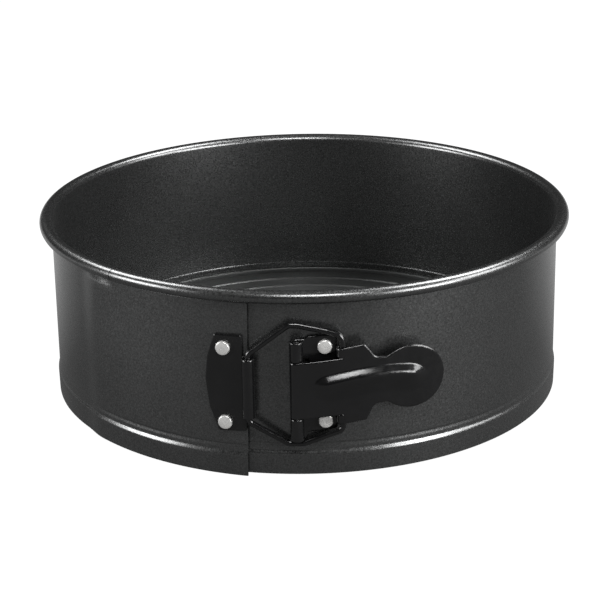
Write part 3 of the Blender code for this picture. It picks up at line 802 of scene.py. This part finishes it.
def make_lever():
    """The lever's plate with its knuckle, rib and thumb tab, and the two curls that hold the bail."""
    s = HINGE[0]
    radius = KNUCKLE_R - LEVER_SHEET / 2
    start = s - math.radians(KNUCKLE_SWEEP) * radius
    tab = arc(TAB_CENTRE, (TAB_R, TAB_R), -118, 118, 48)
    corners = [
        (start, LEVER_KNUCKLE[0]),
        (s, LEVER_KNUCKLE[0]),
        (12.3 * MM, 25.35 * MM),
        (12.4 * MM, 21.6 * MM),
        (20.4 * MM, 22.8 * MM),
        (23.0 * MM, 28.6 * MM),
        (27.6 * MM, 28.9 * MM),
        *tab,
        (27.6 * MM, 46.3 * MM),
        (23.6 * MM, 46.6 * MM),
        (19.8 * MM, 51.8 * MM),
        (12.4 * MM, 50.7 * MM),
        (12.3 * MM, 46.95 * MM),
        (s, LEVER_KNUCKLE[1]),
        (start, LEVER_KNUCKLE[1]),
    ]
    radii = [0.3, 0, 0.3, 0.3, 1.2, 3.0, 0] + [0] * len(tab) + [0, 2.5, 1.0, 0.3, 0.3, 0, 0.3]
    outline = rounded(corners, [m * MM for m in radii])

    def surface(u, z, out):
        if u < s:
            return rolled(s - u, z, out, HINGE, radius, 0.0, -1)
        step = 0.2 * MM
        here = on_wall(u, z, lever_level(u, z))
        along = on_wall(u + step, z, lever_level(u + step, z)) - here
        up = on_wall(u, z + step, lever_level(u, z + step)) - here
        return here + along.cross(up).normalized() * out

    plate = pressed("lever_skin", outline, 0.6 * MM, LEVER_SHEET, surface, BLACK)
    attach(plate, "lever")
    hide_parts("lever")
    axis = BAIL_ON_LEVER[0]
    curl_radius = lever_level(axis, LEVER_KNUCKLE[0]) - BAIL_ON_LEVER[1]
    reach = math.radians(LEVER_CURL_SWEEP) * curl_radius
    root = -0.5 * MM
    tip_rounding = 0.3 * MM

    def round_wire(u, z, out):
        if u < 0:
            return on_wall(axis - u, z, lever_level(axis, z) + out)
        return rolled(u, z, out, BAIL_ON_LEVER, curl_radius, 0.0, -1)

    for word, (low, high) in LEVER_CURLS.items():
        corners = [(root, low), (reach, low), (reach, high), (root, high)]
        strip = rounded(corners, [0, tip_rounding, tip_rounding, 0])
        thickness = LEVER_SHEET - 0.06 * MM
        curl = pressed(f"lever_curl_{word}", strip, 0.4 * MM, thickness, round_wire, BLACK)
        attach(curl, "lever")


def make_bail():
    """One bent wire, from the tube's upper end round through the lever's curls to the tube's lower end."""
    start = on_wall(CATCH_TUBE[0], 0.0, CATCH_TUBE[1])
    end = on_wall(BAIL_ON_LEVER[0], 0.0, BAIL_ON_LEVER[1])
    along = (end - start).normalized()
    length = (end - start).length
    low, high = TUBE_SPAN
    corners = [
        (0.0, high + 0.02 * MM),
        (0.0, high + 1.7 * MM),
        (14.6 * MM, 59.0 * MM),
        (18.0 * MM, 58.9 * MM),
        (28.5 * MM, 56.6 * MM),
        (length, 54.9 * MM),
        (length, 18.6 * MM),
        (19.8 * MM, 13.2 * MM),
        (14.2 * MM, 13.2 * MM),
        (0.0, low - 1.7 * MM),
        (0.0, low - 0.02 * MM),
    ]
    radii = [m * MM for m in (0.0, 2.5, 2.5, 2.5, 6.0, 3.5, 2.5, 2.5, 2.5, 2.3, 0.0)]
    route = [start + along * u + Vector((0, 0, z)) for u, z in rounded(corners, radii, 8)]
    across = Vector((0, 0, 1)).cross(along).normalized()
    builder = bmesh.new()
    rings = []
    last = len(route) - 1
    for i, point in enumerate(route):
        before = (point - route[i - 1]).normalized() if i else (route[1] - point).normalized()
        after = (route[i + 1] - point).normalized() if i < last else before
        direction = (before + after).normalized()
        side = direction.cross(across).normalized()
        ring = []
        for k in range(WIRE_SIDES):
            turn = 2 * math.pi * k / WIRE_SIDES
            out = across * math.cos(turn) + side * math.sin(turn)
            ring.append(builder.verts.new(point + out * WIRE_R))
        rings.append(ring)
    for a, b in zip(rings, rings[1:]):
        for k in range(WIRE_SIDES):
            beside = (k + 1) % WIRE_SIDES
            builder.faces.new((a[k], a[beside], b[beside], b[k]))
    builder.faces.new(rings[0])
    builder.faces.new(rings[-1])
    wire = finish_mesh("bail_skin", builder, BLACK)
    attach(wire, "bail")
    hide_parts("bail")


# ---------------------------------------------------------------- the room
def make_floor():
    """A flat floor that glows: evenly white to the camera, and to the pan a dim glow in front that grows
    brighter behind it.
    """
    builder = bmesh.new()
    sides = evenly(-FLOOR_REACH, FLOOR_REACH, FLOOR_CELLS)
    grid = [[builder.verts.new((x, y, 0.0)) for y in sides] for x in sides]
    for near, far in zip(grid, grid[1:]):
        for j in range(FLOOR_CELLS):
            builder.faces.new((near[j], far[j], far[j + 1], near[j + 1]))
    mesh = bpy.data.meshes.new("floor")
    builder.to_mesh(mesh)
    builder.free()
    made = Nodes("floor")
    level = made.spread(made.noise(3, 2.0), 0.3, 0.7, 0.98, 1.02)
    made.link(made.tint(FLOOR_COLOUR, level), made.shader.inputs["Base Color"])
    made.shader.inputs["Roughness"].default_value = 0.9
    made.shader.inputs["Specular IOR Level"].default_value = 0.0
    made.shader.inputs["Emission Color"].default_value = (1.0, 1.0, 1.0, 1.0)
    seen = made.add("ShaderNodeLightPath").outputs["Is Camera Ray"]
    place = made.add("ShaderNodeSeparateXYZ")
    made.link(made.add("ShaderNodeTexCoord").outputs["Object"], place.inputs["Vector"])
    # The glow the pan sees: a light source painted into the floor, dim in front and brighter behind.
    behind = made.spread(place.outputs["Y"], 0.0, FLOOR_BEHIND_Y, FLOOR_GLOW, FLOOR_BEHIND)
    glow = made.maths("MAXIMUM", behind, made.maths("MULTIPLY", seen, FLOOR_SEEN))
    made.link(glow, made.shader.inputs["Emission Strength"])
    floor = new_object("floor", mesh, made.material)


def make_light(name, azimuth, elevation, size, power):
    """A softbox that faces the pan."""
    target = Vector(LIGHT_TARGET)
    flat = Vector((math.sin(math.radians(azimuth)), -math.cos(math.radians(azimuth)), 0))
    rise = math.radians(elevation)
    place = target + (flat * math.cos(rise) + Vector((0, 0, 1)) * math.sin(rise)) * LIGHT_DISTANCE
    data = bpy.data.lights.new(name, "AREA")
    data.shape = "RECTANGLE"
    data.size, data.size_y = size
    data.energy = power
    obj = bpy.data.objects.new(name, data)
    obj.location = place
    obj.rotation_euler = (target - place).to_track_quat("-Z", "Y").to_euler()
    bpy.context.scene.collection.objects.link(obj)


def make_room():
    make_floor()
    for name, setting in LIGHTS.items():
        make_light(name, *setting)
    world = bpy.data.worlds.new("room")
    world.use_nodes = True
    shade = world.node_tree.nodes["Background"]
    shade.inputs["Color"].default_value = (1.0, 1.0, 1.0, 1.0)
    shade.inputs["Strength"].default_value = WORLD_STRENGTH
    bpy.context.scene.world = world
    bpy.context.scene.view_settings.view_transform = "Standard"


def make_camera():
    """A long lens from the front, above the rim, with a slight lean."""
    pitch, lean = math.radians(CAMERA_PITCH), math.radians(CAMERA_LEAN)
    forward = Vector((0, math.cos(pitch), -math.sin(pitch)))
    right = Vector((1, 0, 0))
    up = right.cross(forward)
    leaning_right = right * math.cos(lean) + up * math.sin(lean)
    leaning_up = up * math.cos(lean) - right * math.sin(lean)
    data = bpy.data.cameras.new("camera")
    data.lens = CAMERA_LENS
    data.clip_start = 0.01
    camera = bpy.data.objects.new("camera", data)
    turn = Matrix((leaning_right, leaning_up, -forward)).transposed().to_4x4()
    camera.matrix_world = Matrix.Translation(CAMERA_PLACE) @ turn
    bpy.context.scene.collection.objects.link(camera)
    bpy.context.scene.camera = camera


make_band()
make_base()
make_catch()
make_bracket()
make_lever()
make_bail()
# The length of wire inside the tube keeps its CAD shape.
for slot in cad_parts["bail_leg"].material_slots:
    slot.material = BLACK
make_room()
make_camera()
